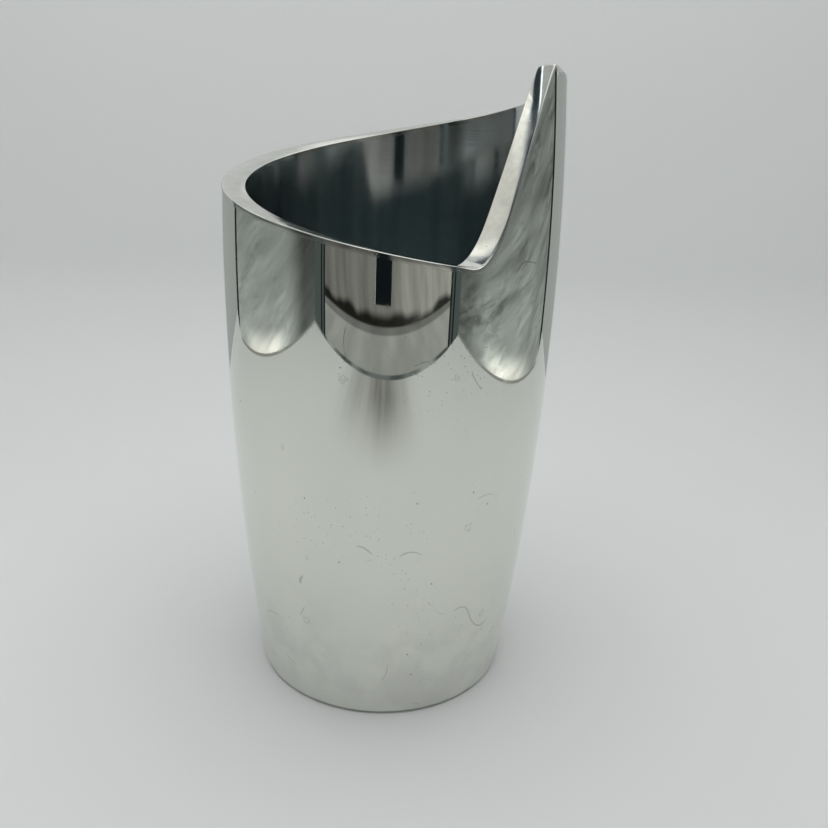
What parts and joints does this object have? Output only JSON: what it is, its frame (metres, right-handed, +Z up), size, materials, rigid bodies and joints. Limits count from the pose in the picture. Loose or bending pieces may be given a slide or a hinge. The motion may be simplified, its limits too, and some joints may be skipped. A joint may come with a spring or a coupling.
{
  "type": "champagne bucket",
  "caption": "Tall round double-walled metal bucket for a champagne bottle, with a flat rim that swirls up to a tip and drops down a steep cut face to a notch.",
  "frame": {"origin": "centre of the round base, on the surface the bucket stands on", "axes": "+Z up along the barrel's axis, -Y towards the front, so the tip of the rim stands 60 degrees round from the front towards +X"},
  "size_m": [0.1338, 0.1338, 0.254],
  "materials": {
    "outer_metal": "polished, fine turned grain, light wear",
    "rim_metal": "milled flat, bright satin",
    "liner_metal": "spun, polished",
    "base_metal": "satin, turned",
    "cork": "cork agglomerate",
    "pad_rubber": "matte"
  },
  "bodies": {
    "root": {"outer_shell": "outer_metal", "inner_liner": "liner_metal", "swirl_rim_strip": "rim_metal", "rise_rim_strip": "rim_metal", "base_plate": "base_metal", "liner_support_ring": "cork", "base_pad_1": "pad_rubber", "base_pad_2": "pad_rubber", "base_pad_3": "pad_rubber", "base_pad_4": "pad_rubber"}
  },
  "joints": []
}
